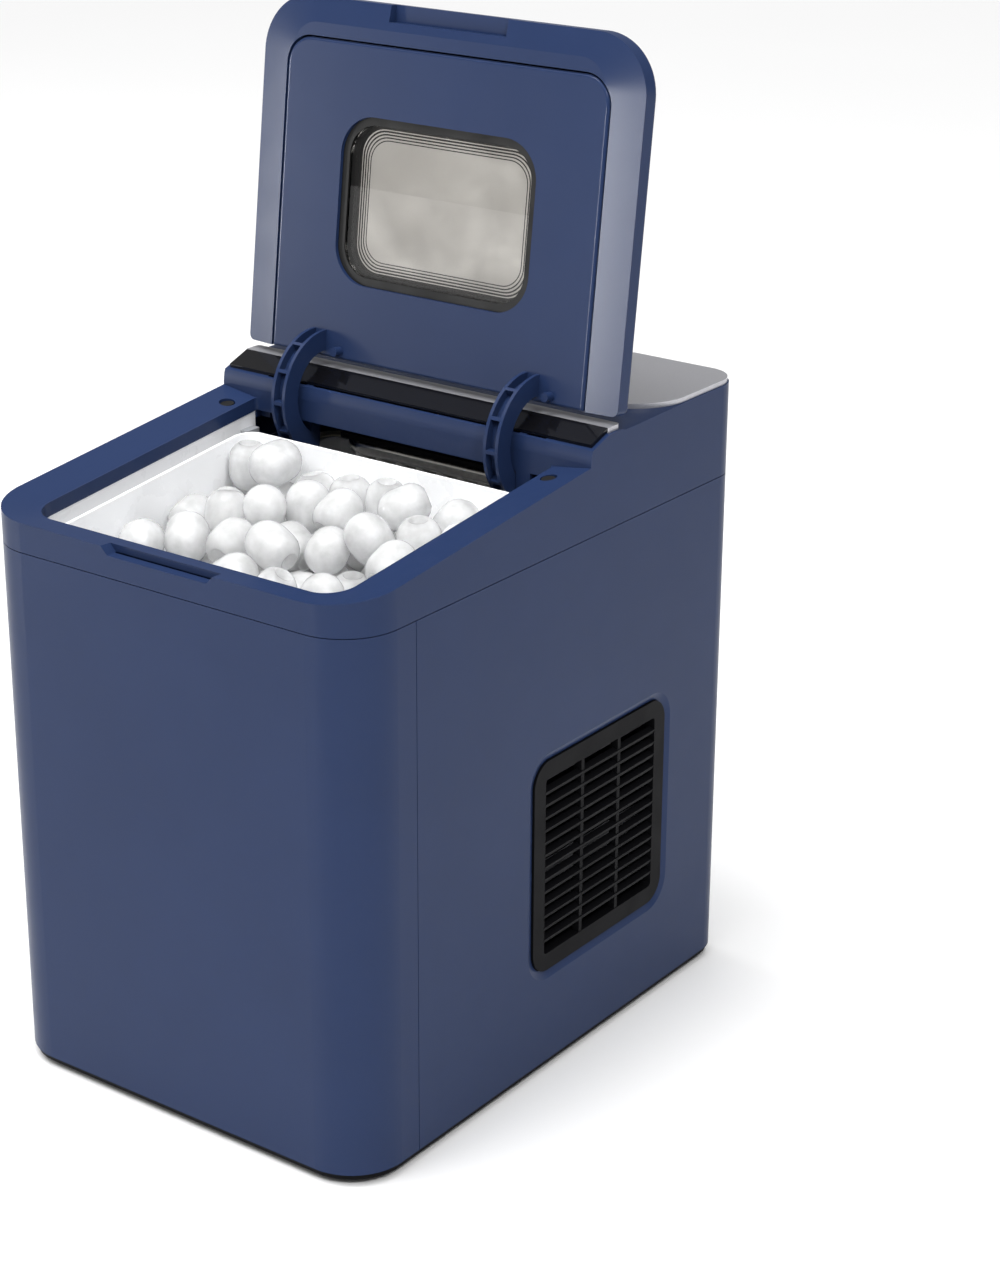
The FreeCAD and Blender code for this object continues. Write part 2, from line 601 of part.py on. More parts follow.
def notch_block(name, depth):
    """The finger notch at the middle of the rim's front edge, with sloping ends."""
    reach = 6
    top = "rim_front_height+6"
    bottom = f"rim_front_height-{depth}"
    body = doc.addObject("PartDesign::Body", name)
    sketch = body.newObject("Sketcher::SketchObject", name + "_sketch")
    sketch.AttachmentSupport = [(next(f for f in body.Origin.OriginFeatures if f.Role == "XZ_Plane"), "")]
    sketch.MapMode = "FlatFace"
    polygon_outline(sketch, [("-notch_half+7", bottom), ("notch_half-7", bottom),
                             ("notch_half+4", top), ("-notch_half-4", top)])
    pad = body.newObject("PartDesign::Pad", name + "_pad")
    pad.Profile = sketch
    pad.Length = reach + 5
    return move(body, 0, f"{FRONT}+{reach}", 0)


def bumper(name, sign, radius, low, high):
    """A rod through the rim surface beside the wall, square to the rim."""
    item = doc.addObject("Part::Cylinder", name)
    bind(item, Radius=radius, Height=f"({high})-({low})")
    turn(item, X_AXIS, "lid_slope")
    back = "(pivot_setback-bumper_setback)"
    level = f"(pivot_drop-rim_dish*0.55+({low}))"
    return move(item, f"({sign})*({SIDE}-bumper_inset)", f"{PIVOT_Y}-{back}-{level}*sin(lid_slope*1deg)",
                f"{PIVOT_Z}-{back}*tan(lid_slope*1deg)+{level}*cos(lid_slope*1deg)")


def make_housing_trim():
    half = f"({SIDE}-2)"
    drop = "strip_thickness"
    keep("control_strip", profile("strip_profile", (f"-{half}", half), [
        (STRIP_LOW_Y, STRIP_LOW_Z),
        (f"{STRIP_LOW_Y}+0.6", f"{STRIP_LOW_Z}+0.6*strip_rise/strip_depth-{drop}"),
        (STRIP_HIGH_Y, f"{STRIP_LOW_Z}+strip_rise-{drop}"), (STRIP_HIGH_Y, f"{STRIP_LOW_Z}+strip_rise")]))
    trim_half = f"({SIDE}-1.5)"
    keep("trim_strip",
         slab("trim", (f"-{trim_half}", trim_half), (STRIP_HIGH_Y, f"{STRIP_HIGH_Y}+trim_depth"),
                            (DECK_Z, "body_height"), 0.6, 2))
    side = f"({SIDE}-plate_inset)"
    plate = slab("plate", (f"-{side}", side), (f"{FRONT}+plate_front", f"{REAR}-plate_inset"),
                 (DECK_Z, "body_height"),
                 "plate_radius", "rear_radius-plate_inset")
    holes = [rod(f"button_hole_{i}", "z", "button_radius+button_gap", f"{DECK_Z}-1", "body_height+1",
                 f"({sign})*button_place", BUTTON_Y) for i, sign in enumerate((-1, 1))]
    lenses = [rod(f"lens_seat_{i}", "z", 2.5, f"{DECK_Z}-1", "body_height+1", 12 * (i - 1), LENS_Y)
              for i in range(3)]
    keep("top_plate", cut("plate_cut", plate, holes + lenses))
    for name, sign in (("power_button", -1), ("select_button", 1)):
        x = f"({sign})*button_place"
        cap = rod(name + "_cap", "z", "button_radius", f"{DECK_Z}+button_travel+0.1", "body_height+1", x,
                  BUTTON_Y)
        stem = rod(name + "_stem", "z", 3, f"{SWITCH_TOP}+button_travel+{SWITCH_GAP}",
                   f"{DECK_Z}+button_travel+0.2", x, BUTTON_Y)
        keep(name, fuse(name + "_body", [cap, stem]))
    lens = [fuse(f"lens_{i}", [rod(f"lens_head_{i}", "z", 2.4, DECK_Z, "body_height", 12 * (i - 1), LENS_Y),
                               rod(f"lens_light_{i}", "z", 1.5, f"{BOARD_TOP}", DECK_Z, 12 * (i - 1),
                                   LENS_Y)])
            for i in range(3)]
    keep("indicator_lenses", fuse("lenses", lens))


def make_boards():
    board = box("board", (-60, 60), (82, 134), (f"{BOARD_TOP}-1.6", BOARD_TOP))
    posts = [rod(f"board_post_{x}_{y}", "z", 3.5, BOARD_TOP, CEILING_Z, x, y) for x in (-54, 54)
             for y in (87, 129)]
    switches = [box(f"switch_{i}", (f"{x}-3", f"{x}+3"), (BUTTON_Y - 3, BUTTON_Y + 3),
                    (BOARD_TOP, SWITCH_TOP))
                for i, x in enumerate(("button_place", "-button_place"))]
    keep("control_board", fuse("control_board_body", [board] + posts + switches))
    rear = f"({REAR}-shell_wall)"
    power = box("power", (-60, 60), (f"{rear}-10", f"{rear}-8.4"), (176, 250))
    spacers = [rod(f"spacer_{x}_{z}", "y", 3, f"{rear}-8.4", rear, x, z) for x in (-54, 54)
               for z in (182, 244)]
    relay = box("relay", (-45, -15), (f"{rear}-28", f"{rear}-10"), (190, 210))
    transformer = box("transformer", (5, 40), (f"{rear}-38", f"{rear}-10"), (200, 232))
    keep("power_board", fuse("power_board_body", [power, relay, transformer] + spacers))


# ---------------------------------------------------------------- tank, basket and foam
def tank_space(name, inset, floor_inset, top):
    """The tank's shape drawn in by an inset: a wide upper part and a deeper sump at the front."""
    half = f"({TANK_HALF}-({inset}))"
    front = f"{TANK_FRONT}+({inset})"
    upper = slab(name + "_upper", (f"-{half}", half), (front, f"tank_rear-({inset})"),
                 (f"tank_floor+({floor_inset})", top), f"{TANK_RADIUS}-({inset})", f"8-({inset})")
    sump = slab(name + "_sump", (f"-{half}", half), (front, f"sump_rear-({inset})"),
                (f"sump_floor+({floor_inset})", f"tank_floor+({floor_inset})+1"),
                f"{TANK_RADIUS}-({inset})",
                f"8-({inset})")
    return fuse(name, [upper, sump])


def make_tank():
    outer = tank_space("tank_outer", 0, 0, 400)
    trim_front = common("tank_front_trim", sloped_block("tank_slope", "-skirt_height-tank_gap", 200),
                        box("tank_ahead", (-200, 200), (-300, f"{WALL_Y}+1"), (0, 600)))
    trim_rear = box("tank_rear_trim", (-200, 200), (WALL_Y, 300), (TANK_TOP, 600))
    inner = tank_space("tank_inner", "tank_wall", "tank_wall", 500)
    shell = cut("tank_shell", outer, [inner, trim_front, trim_rear])
    rails = [box(f"basket_rail_{i}", ends, (-110, -10), ("basket_bottom-6", "basket_bottom-0.3"))
             for i, ends in enumerate(((f"-{TANK_HALF}+1", "-basket_half+6"),
                                       ("basket_half-6", f"{TANK_HALF}-1")))]
    spigot = rod("spigot", "x", 8, f"-{SIDE}+shell_wall+8", f"-{TANK_HALF}+1", DRAIN_Y, DRAIN_Z)
    bore = rod("spigot_bore", "x", 5.4, f"-{SIDE}-1", f"-{TANK_HALF}+5", DRAIN_Y, DRAIN_Z)
    keep("tank_liner", cut("tank_bored", fuse("tank_whole", [shell, spigot] + rails), [bore]))
    gap = 0.3
    foam_front = f"({TANK_FRONT}-{gap}-foam_thickness)"
    foam_half = f"({TANK_HALF}+{gap}+foam_thickness)"
    upper = slab("foam_upper", (f"-{foam_half}", foam_half),
                 (foam_front, f"tank_rear+{gap}+foam_thickness"),
                 (f"tank_floor-{gap}-foam_thickness", "seam_height-4"), "front_radius-6", 12)
    sump = slab("foam_sump", (f"-{foam_half}", foam_half), (foam_front, f"sump_rear+{gap}+foam_thickness"),
                (f"sump_floor-{gap}-foam_thickness", "tank_floor"), "front_radius-6", 12)
    room = tank_space("foam_room", f"-{gap}", f"-{gap}", 500)
    drain = rod("foam_drain", "x", 8.5, "-200", "-80", DRAIN_Y, DRAIN_Z)
    keep("insulation_foam", cut("foam_cut", fuse("foam_body", [upper, sump]), [room, drain]))
    plug = rod("drain_plug", "x", 5.1, f"-{SIDE}+shell_wall+1", f"-{TANK_HALF}-2", DRAIN_Y, DRAIN_Z)
    cap = rod("drain_cap_disc", "x", DRAIN_RADIUS, f"-{SIDE}+0.3", f"-{SIDE}+6", DRAIN_Y, DRAIN_Z)
    dish = pipe("drain_dish", "x", DRAIN_RADIUS - 2, 4, f"-{SIDE}-1", f"-{SIDE}+2.5", DRAIN_Y, DRAIN_Z)
    keep("drain_cap", cut("drain_cap_cut", fuse("drain_cap_body", [plug, cap]), [dish]))


def make_basket():
    """A draining basket whose top edge runs parallel to the rim."""
    def basket_slab(name, inset, z):
        half = f"(basket_half-({inset}))"
        return slab(name, (f"-{half}", half), (f"basket_front+({inset})", f"basket_rear-({inset})"), z,
                    f"12-({inset})", f"10-({inset})")
    outer = basket_slab("basket_outer", 0, ("basket_bottom", 400))
    inner = basket_slab("basket_inner", "basket_wall", ("basket_bottom+basket_wall", 500))
    top = sloped_block("basket_top", "-basket_drop", 200)
    holes = [box(f"drain_slot_{i}_{j}", (f"{-70 + 20 * i}", f"{-60 + 20 * i}"),
                 (f"{-120 + 14 * j}", f"{-114 + 14 * j}"),
                 ("basket_bottom-1", "basket_bottom+basket_wall+1")) for i in range(7) for j in range(8)]
    sides = [box(f"side_slot_{j}", (-200, 200), (f"{-112 + 14 * j}", f"{-107 + 14 * j}"),
                 ("basket_bottom+10", "basket_bottom+34")) for j in range(8)]
    keep("ice_basket", cut("basket", outer, [inner, top] + holes + sides))


# ---------------------------------------------------------------- freezing group
def make_freezer():
    end = f"(finger_pitch*{(FINGERS - 1) / 2}+8)"
    header = tube("header", [(f"-{end}", 104, "header_z"), (f"-{end}", "tray_y", "header_z"),
                             (end, "tray_y", "header_z"), (end, 104, "header_z")], number("header_radius"),
                             9.5)
    fingers = []
    for i in range(FINGERS):
        x = f"finger_pitch*({i}-{(FINGERS - 1) / 2})"
        fingers.append(rod(f"finger_{i}", "z", "finger_radius", "finger_bottom", "header_z", x, "tray_y"))
        ball = doc.addObject("Part::Sphere", f"finger_tip_{i}")
        bind(ball, Radius="finger_radius")
        fingers.append(move(ball, x, "tray_y", "finger_bottom"))
    keep("evaporator", fuse("evaporator_body", [header] + fingers))
    low = "header_z+header_radius"
    plate = box("bracket_plate", (-52, 52), (40, 84), (low, f"{low}+2.5"))
    posts = [rod(f"bracket_post_{x + 45}", "z", 4, f"{low}+1", CEILING_Z, x, 76) for x in (-45, 45)]
    keep("evaporator_bracket", fuse("bracket", [plate] + posts))

    radius = "tray_radius+tray_wall"
    drum = rod("tray_drum", "x", radius, "-tray_half-tray_wall", "tray_half+tray_wall", "tray_y", "tray_z")
    hollow = rod("tray_hollow", "x", "tray_radius", "-tray_half", "tray_half", "tray_y", "tray_z")
    upper = box("tray_open", (-200, 200), (0, 200), ("tray_z", 400))
    trough = cut("tray_trough", drum, [hollow, upper])
    hubs = [rod("tray_hub_left", "x", 7, "-tray_half-tray_wall", "-tray_half", "tray_y", "tray_z"),
            rod("tray_hub_right", "x", 7, "tray_half", "tray_half+tray_wall", "tray_y", "tray_z")]
    stubs = [rod("tray_stub_left", "x", 4, f"-{STUB_END}", "-tray_half", "tray_y", "tray_z"),
             rod("tray_stub_right", "x", 4, "tray_half", STUB_END, "tray_y", "tray_z")]
    keep("water_tray", fuse("tray_body", [trough] + hubs + stubs))
    inner = f"({TANK_HALF}-tank_wall)"
    case = rod("gearbox", "x", 17, f"-{inner}", f"-{inner}+22", "tray_y", "tray_z")
    neck = rod("gearbox_neck", "x", 9, f"-{inner}+21", "-tray_half-tray_wall-1", "tray_y", "tray_z")
    socket = rod("gearbox_socket", "x", 4.05, f"-{STUB_END}-0.5", "-50", "tray_y", "tray_z")
    keep("tray_gear_motor", cut("gearbox_cut", fuse("gearbox_body", [case, neck]), [socket]))
    boss = rod("bearing_boss", "x", 10, "tray_half+tray_wall+1", inner, "tray_y", "tray_z")
    bore = rod("bearing_bore", "x", 4.05, 50, f"{STUB_END}+0.5", "tray_y", "tray_z")
    keep("tray_bearing", cut("bearing_cut", boss, [bore]))
    for name, sign in (("left", -1), ("right", 1)):
        ends = (inner, f"{inner}-4.5") if sign > 0 else (f"-{inner}", f"-{inner}+4.5")
        ends = ends if sign < 0 else (ends[1], ends[0])
        keep(f"ice_sensor_{name}", slab(f"sensor_{name}", ends, (9, 19), (258, 283), 1, 1))


def make_pump():
    floor = "(sump_floor+tank_wall)"
    body = slab("pump_body", (34, 74), (-118, -90), (floor, f"{floor}+30"), 5, 5)
    outlet = rod("pump_outlet", "z", 4, f"{floor}+29", f"{floor}+38", 60, -100)
    keep("water_pump", fuse("pump", [body, outlet]))
    keep("water_hose",
         tube("hose", [(60, -100, f"{floor}+38"), (60, -100, 160), (60, -56, 178.5), (74, 13.5, 178.5),
                                     (74, 13.5, 262), (48, 13.5, 262), (48, 26, 262)], 3, 6))


# ---------------------------------------------------------------- cooling group


def make_cooling():
    x, y, radius = "compressor_x", "compressor_y", "compressor_radius"
    can = rod("compressor_can", "z", radius, 30, 128, x, y)
    domes = []
    for name, height in (("low", 30), ("high", 128)):
        dome = doc.addObject("Part::Ellipsoid", f"dome_{name}")
        bind(dome, Radius1=14, Radius2=radius, Radius3=radius)
        domes.append(move(dome, x, y, height))
    foot = box("compressor_foot", (f"{x}-52", f"{x}+52"), (f"{y}-44", f"{y}+44"), (18, 21))
    stubs = [rod(f"compressor_stub_{i}", "z", 4, 130, STUB_TOP, x, f"{y}+({reach})")
             for i, reach in enumerate((-13, 27))]
    keep("compressor", fuse("compressor_body", [can, foot] + domes + stubs))
    corners = [(f"{x}+({sx})*44", f"{y}+({sy})*36") for sx in (-1, 1) for sy in (-1, 1)]
    keep("compressor_mounts", fuse("mounts", [rod(f"mount_{i}", "z", 7, "shell_bottom", 18, a, b)
                                              for i, (a, b) in enumerate(corners)]))
    relay_block = slab("relay_block", (f"{x}-{radius}-14", f"{x}-{radius}+4"), (f"{y}-16", f"{y}+16"),
                       (70, 112), 4, 4)
    relay_seat = rod("relay_seat", "z", f"{radius}+0.05", 20, 200, x, y)
    keep("compressor_cover", cut("relay_cover", relay_block, [relay_seat]))

    face = f"({GRILLE_FACE}-grille_depth-2.4)"
    span = (f"grille_centre_y-50", "grille_centre_y+50")
    ends = [box(f"condenser_end_{i}", (f"{face}-24", f"{face}-2"),
                (f"grille_centre_y+({s})*52-1", f"grille_centre_y+({s})*52+1"),
                ("shell_bottom", 162)) for i, s in enumerate((-1, 1))]
    fins = [box(f"fin_{i}", (f"{face}-22", f"{face}-4"), span, (f"{40 + 6 * i}", f"{40.8 + 6 * i}"))
            for i in range(21)]
    runs = [rod(f"condenser_run_{i}", "y", 3, "grille_centre_y-53", "grille_centre_y+53", f"{face}-13",
                46 + 18 * i)
            for i in range(7)]
    stays = [box(f"fin_stay_{i}", (f"{face}-22", f"{face}-21"),
                 (f"grille_centre_y+({s})*50-1", f"grille_centre_y+({s})*51+1"),
                 (38, 162)) for i, s in enumerate((-1, 1))]
    keep("condenser", fuse("condenser_body", ends + fins + runs + stays))

    middle = ("grille_centre_y", "grille_centre_z-4")
    ring = pipe("shroud_ring", "x", "fan_radius+5", "fan_radius+2", "fan_x-14", f"{face}-26", *middle)
    plate_box = box("shroud_plate", (f"{face}-27.5", f"{face}-25.5"),
                    ("grille_centre_y-52", "grille_centre_y+52"),
                    ("shell_bottom", 162))
    plate = cut("shroud_face", plate_box, [rod("shroud_hole", "x", "fan_radius+2", 0, 200, *middle)])
    arms = []
    for i in range(3):
        arm = doc.addObject("Part::Box", f"shroud_arm_{i}")
        bind(arm, Length=2.5, Width=6, Height="fan_radius+3.5")
        turn(arm, X_AXIS, 120 * i + 30)
        arms.append(move(arm, "fan_x-16.5", *middle))
    hub_plate = rod("shroud_hub", "x", 19, "fan_x-16.5", "fan_x-14", *middle)
    rim = pipe("shroud_rim", "x", "fan_radius+5", "fan_radius+2", "fan_x-16.5", "fan_x-13", *middle)
    hole = rod("shroud_shaft_hole", "x", 6, "fan_x-20", "fan_x-10", *middle)
    keep("fan_shroud", cut("shroud_cut", fuse("shroud_body", [ring, plate, hub_plate, rim] + arms), [hole]))
    motor = rod("motor_can", "x", 17, "fan_x-40", "fan_x-16.5", *middle)
    boss = rod("motor_boss", "x", 5.5, "fan_x-17", "fan_x-14", *middle)
    shaft = rod("motor_shaft", "x", 1.5, "fan_x-15", "fan_x+6", *middle)
    keep("fan_motor", fuse("motor_body", [motor, boss, shaft]))
    hub = cut("fan_hub", rod("fan_hub_body", "x", 15, "fan_x-8", "fan_x+8", *middle),
              [rod("fan_bore", "x", 1.55, "fan_x-20", "fan_x+6.5", *middle)])
    blades = []
    for i in range(7):
        blade = Part.makeBox(2, 26, number("fan_radius") - 13, Vector(-1, -13, 13))
        blade.rotate(Vector(), Z_AXIS, 32)
        blade = blade.common(Part.makeCylinder(number("fan_radius"), 40, Vector(-20, 0, 0), X_AXIS))
        blade.rotate(Vector(), X_AXIS, 360 / 7 * i)
        item = free_shape(f"blade_{i}", blade)
        blades.append(move(item, "fan_x", *middle))
    keep("fan_rotor", fuse("rotor", [hub] + blades))

    keep("filter_drier", fuse("drier", [rod("drier_body", "z", 9, 40, 120, -92, 20),
                                        rod("drier_low", "z", 3, "shell_bottom", 40, -92, 20),
                                        rod("drier_high", "z", 3, 120, 135, -92, 20)]))
    header = f"(finger_pitch*{(FINGERS - 1) / 2}+8)"
    keep("suction_tube", tube("suction", [(f"-{header}", 104, "header_z"), (f"-{header}", 116, "header_z"),
                                          (f"-{header}", 116, 160), ("compressor_x", 112, 160),
                                          ("compressor_x", "compressor_y+27", STUB_TOP)], 3, 6))
    keep("discharge_tube",
         tube("discharge",
              [("compressor_x", "compressor_y-13", STUB_TOP), ("compressor_x", 72, DISCHARGE_Z),
               (40, 72, DISCHARGE_Z),
                                              (40, 112, DISCHARGE_Z), (f"{face}-13", 112, DISCHARGE_Z),
                                              (f"{face}-13", "grille_centre_y+53", DISCHARGE_Z)], 3, 4.5))
    keep("liquid_tube",
         tube("liquid",
              [(-92, 20, 135), (-92, 20, 146), (-92, 100, 146), (-92, 126, 170), (header, 126, 200),
                                        (header, 126, "header_z"), (header, 104, "header_z")], 2, 6))
    valve = fuse("valve",
                 [rod("valve_coil", "z", 13, 160, 190, 88, 122),
                  rod("valve_stem", "z", 4, 152, 161, 88, 122),
                           box("valve_base", (80, 96), (114, f"{REAR}-shell_wall"), (190, 194))])
    keep("hot_gas_valve", valve)


# ---------------------------------------------------------------- hinge and lid
def make_hinge():
    for name, side in (("left", -1), ("right", 1)):
        place = f"(({side})*arm_place)"
        lug = f"(arm_width/2+side_clearance+{LUG_THICKNESS})"
        pin = rod(f"pin_{name}", "x", "pin_radius", f"{place}-{lug}", f"{place}+{lug}+0.8", PIVOT_Y,
                  PIVOT_Z)
        head = rod(f"pin_head_{name}", "x", 4, f"{place}+{lug}", f"{place}+{lug}+1.6", PIVOT_Y, PIVOT_Z)
        keep(f"hinge_pin_{name}", fuse(f"pin_whole_{name}", [pin, head]))
        keep(f"hinge_arm_{name}", open_lid(hinge_arm(name, place)))


def hinge_arm(name, place):
    """A C-shaped arm whose arc is centred on the hinge pin, pocketed on its outer face."""
    ends = (f"{place}-arm_width/2", f"{place}+arm_width/2")
    ring = pipe(f"arm_ring_{name}", "x", "arm_outer", "arm_inner", *ends, 0, 0)
    pocket_ends = (f"{place}-arm_width/2+1.7", f"{place}+arm_width/2-1.7")
    groove = pipe(f"arm_groove_{name}", "x", "arm_outer+2", "arm_outer-4", *pocket_ends, 0, 0)
    ribs = []
    for angle in (180, 218, 248, 278, 308, 338):
        rib = doc.addObject("Part::Box", f"arm_rib_{name}_{angle}")
        width = 9 if angle in (180, 338) else 1.8
        bind(rib, Length="arm_width", Width=width, Height="arm_outer+3")
        turn(rib, X_AXIS, angle - 90)
        ribs.append(move(rib, f"{place}-arm_width/2"))
    pockets = cut(f"arm_pockets_{name}", groove, ribs)
    upper = box(f"arm_upper_{name}", (-200, 200), (-60, 60), (PANEL_FACE, 60))
    arc = cut(f"arm_arc_{name}", ring, [pockets, upper])
    spoke = box(f"arm_spoke_{name}", ends, (0, "arm_inner+1"), (f"{PANEL_FACE}-7", PANEL_FACE))
    hub = rod(f"arm_hub_{name}", "x", 7, *ends, 0, 0)
    return cut(f"arm_{name}", fuse(f"arm_body_{name}", [arc, spoke, hub]),
               [rod(f"arm_bore_{name}", "x", "pin_radius+pin_clearance", f"{ends[0]}-1", f"{ends[1]}+1", 0,
                    0)])


def lid_slab(name, side_inset, front_inset, z, radius):
    """A plate in the lid's frame, from the hinge edge towards the free edge."""
    side = f"({SIDE}-({side_inset}))"
    return slab(name, (f"-{side}", side), (f"-{LID_EDGE}-{LID_LENGTH}+({front_inset})", f"-{LID_EDGE}"), z,
                radius,
                "lid_edge_round+0.5")


def window_slab(name, grow, z):
    half = f"(window_half_width+({grow}))"
    length = f"(window_half_length+({grow}))"
    return slab(name, (f"-{half}", half), (f"{WINDOW_Y}-{length}", f"{WINDOW_Y}+{length}"), z,
                f"window_radius+({grow})", f"window_radius+({grow})")


def make_lid():
    block = lid_slab("lid_block", 0, 0, (-6, LID_TOP), "front_radius")
    top = number(LID_TOP)
    soft = rounded_edges("lid_soft", block, "lid_edge_round", lambda edge: edge.BoundBox.ZMin > top - 0.01)
    shaped = common("lid_shaped", soft, above_rim("lid_form", number("lid_gap")))
    cavity = slab("lid_cavity", (f"-{SIDE}+panel_inset", f"{SIDE}-panel_inset"),
                  (f"-{LID_EDGE}-{LID_LENGTH}+panel_inset+2", f"-{LID_EDGE}+5"),
                  (-10, f"{LID_TOP}-lid_skin"), "front_radius-panel_inset+3", 1)
    outer_hole = window_slab("lid_window_hole", "-gasket_width", (0, 20))
    notch = box("lid_notch", ("-notch_half+2", "notch_half-2"),
                (f"-{LID_EDGE}-{LID_LENGTH}-1", f"-{LID_EDGE}-{LID_LENGTH}+8"), (-10, "lid_gap+3.2"))
    keep("lid_outer_shell", open_lid(cut("lid_shell_cut", shaped, [cavity, outer_hole, notch])))

    wide = f"({SIDE}-panel_inset-panel_gap)"
    front = f"-{LID_EDGE}-{LID_LENGTH}+panel_inset+2+panel_gap"
    corner = "front_radius-panel_inset+3-panel_gap"
    block = slab("panel_block", (f"-{wide}", wide), (front, f"-{LID_EDGE}"),
                 (PANEL_FACE, f"{PANEL_FACE}+lid_skin"),
                 corner, 1)
    open_plate = cut("panel_open_plate", block, [window_slab("panel_first_hole", 0, (-20, 20))])
    face = number(PANEL_FACE)
    plate = rounded_edges("panel_plate", open_plate, "panel_edge_round",
                          lambda edge: edge.BoundBox.ZMax < face + 0.01)
    wall = cut("panel_wall", slab("panel_wall_outer", (f"-{wide}", wide), (front, f"-{LID_EDGE}"),
                                  (f"{PANEL_FACE}+1", f"{LID_TOP}-lid_skin"), corner, 1),
               [slab("panel_wall_inner", (f"-{wide}+2", f"{wide}-2"), (f"{front}+2", f"-{LID_EDGE}-2"),
                     (f"{PANEL_FACE}", f"{LID_TOP}+1"), "front_radius-panel_inset", 1)])
    frame = cut("panel_frame", window_slab("panel_frame_outer", 2, (PANEL_FACE, f"{LID_TOP}-lid_skin")),
                [window_slab("panel_frame_inner", 0, (-20, 20))])
    posts = [rod(f"panel_post_{i}", "z", 2.2, f"{PANEL_FACE}-5", f"{PANEL_FACE}+1", x, f"-{LID_EDGE}-4")
             for i, x in enumerate(("-arm_place+13", "arm_place+11"))]
    panel = cut("panel_cut", fuse("panel_body", [plate, wall, frame] + posts),
                [window_slab("panel_hole", 0, (-20, 20))])
    keep("lid_inner_panel", open_lid(panel))

    gasket = cut("gasket_ring",
                 window_slab("gasket_outer", -0.05, (f"{PANEL_FACE}+2", f"{LID_TOP}-lid_skin")),
                 [window_slab("gasket_inner", "-gasket_width", (-20, 20))])
    keep("window_gasket", open_lid(gasket))
    pane = window_slab("inner_pane_body", "-gasket_width", (f"{PANEL_FACE}+3", f"{PANEL_FACE}+5.2"))
    keep("window_inner_pane", open_lid(pane, f"{PANEL_FACE}+3"))
    cover = window_slab("outer_pane_body", "-gasket_width", (f"{LID_TOP}-lid_skin", LID_TOP))
    keep("window_outer_pane", open_lid(cover, f"{LID_TOP}-lid_skin"))


def make_small_parts():
    keep("rim_bumpers", fuse("bumpers", [bumper(f"bumper_{i}", sign, "bumper_radius-0.6", -5, -1)
                                         for i, sign in enumerate((-1, 1))]))
    screws = [rod(f"screw_{i}", "z", 2.6, "foot_height-0.8", "foot_height", f"({sx})*({SIDE}-45)",
                  f"({sy})*({REAR}-18)")
              for i, (sx, sy) in enumerate((a, b) for a in (-1, 1) for b in (-1, 1))]
    keep("case_screws", fuse("screws", screws))


make_base()
make_casing()
make_grille()
make_collar()
make_housing_trim()
make_boards()
make_tank()
make_basket()
make_freezer()
make_pump()
make_cooling()
make_hinge()
make_lid()
make_small_parts()
doc.recompute()

# ---------------------------------------------------------------- checks and files
for item in doc.Objects:
    if "Invalid" in item.State or "Error" in item.State:
        raise RuntimeError(f"{item.Label} did not compute")
os.makedirs("parts", exist_ok=True)
for name, item in parts.items():
    shape = item.Shape
    if shape.isNull() or not shape.isValid() or not shape.Solids:
        raise RuntimeError(f"{name} has no valid shape")
    shape.exportStep(f"parts/{name}.step")
print(len(parts), "sub-parts written")
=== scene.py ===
import json
import math

import bmesh
import bpy
import numpy as np
from mathutils import Matrix, Vector


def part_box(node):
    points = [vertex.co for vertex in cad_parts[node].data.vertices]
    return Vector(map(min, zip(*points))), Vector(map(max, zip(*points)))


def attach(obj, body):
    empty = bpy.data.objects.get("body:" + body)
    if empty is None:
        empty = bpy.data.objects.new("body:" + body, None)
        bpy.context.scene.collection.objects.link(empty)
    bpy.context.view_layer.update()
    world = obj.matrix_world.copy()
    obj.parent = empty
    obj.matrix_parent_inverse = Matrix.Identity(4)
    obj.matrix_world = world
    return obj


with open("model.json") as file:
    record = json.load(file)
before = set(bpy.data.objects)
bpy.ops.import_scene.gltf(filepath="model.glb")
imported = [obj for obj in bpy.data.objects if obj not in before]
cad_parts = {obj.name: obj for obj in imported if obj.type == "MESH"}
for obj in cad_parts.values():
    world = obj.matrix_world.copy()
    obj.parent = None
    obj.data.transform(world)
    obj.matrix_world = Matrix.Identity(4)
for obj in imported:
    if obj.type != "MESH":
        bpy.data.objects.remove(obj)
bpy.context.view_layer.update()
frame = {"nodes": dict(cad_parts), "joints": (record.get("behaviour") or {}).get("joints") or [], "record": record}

NODES = frame["nodes"]
MM = 0.001

# ---------------------------------------------------------------- camera
CAMERA_PLACE = (0.781667, -0.9686, 0.693769)
CAMERA_YAW = 0.63
CAMERA_PITCH = 0.377
CAMERA_ROLL = 0.006
CAMERA_LENS = 78.86
CAMERA_SENSOR = 36
CAMERA_FAR = 60


def make_camera():
    data = bpy.data.cameras.new("camera")
    data.lens = CAMERA_LENS
    data.sensor_width = CAMERA_SENSOR
    data.clip_end = CAMERA_FAR
    cam = bpy.data.objects.new("camera", data)
    bpy.context.scene.collection.objects.link(cam)
    yaw, pitch = CAMERA_YAW, CAMERA_PITCH
    ahead = Vector((-math.sin(yaw) * math.cos(pitch), math.cos(yaw) * math.cos(pitch), -math.sin(pitch)))
    right = Vector((math.cos(yaw), math.sin(yaw), 0))
    up = right.cross(ahead)
    c, s = math.cos(CAMERA_ROLL), math.sin(CAMERA_ROLL)
    x_axis = c * right + s * up
    y_axis = c * up - s * right
    turn = Matrix((x_axis, y_axis, -ahead)).transposed()
    cam.matrix_world = Matrix.Translation(CAMERA_PLACE) @ turn.to_4x4()
    bpy.context.scene.camera = cam


make_camera()


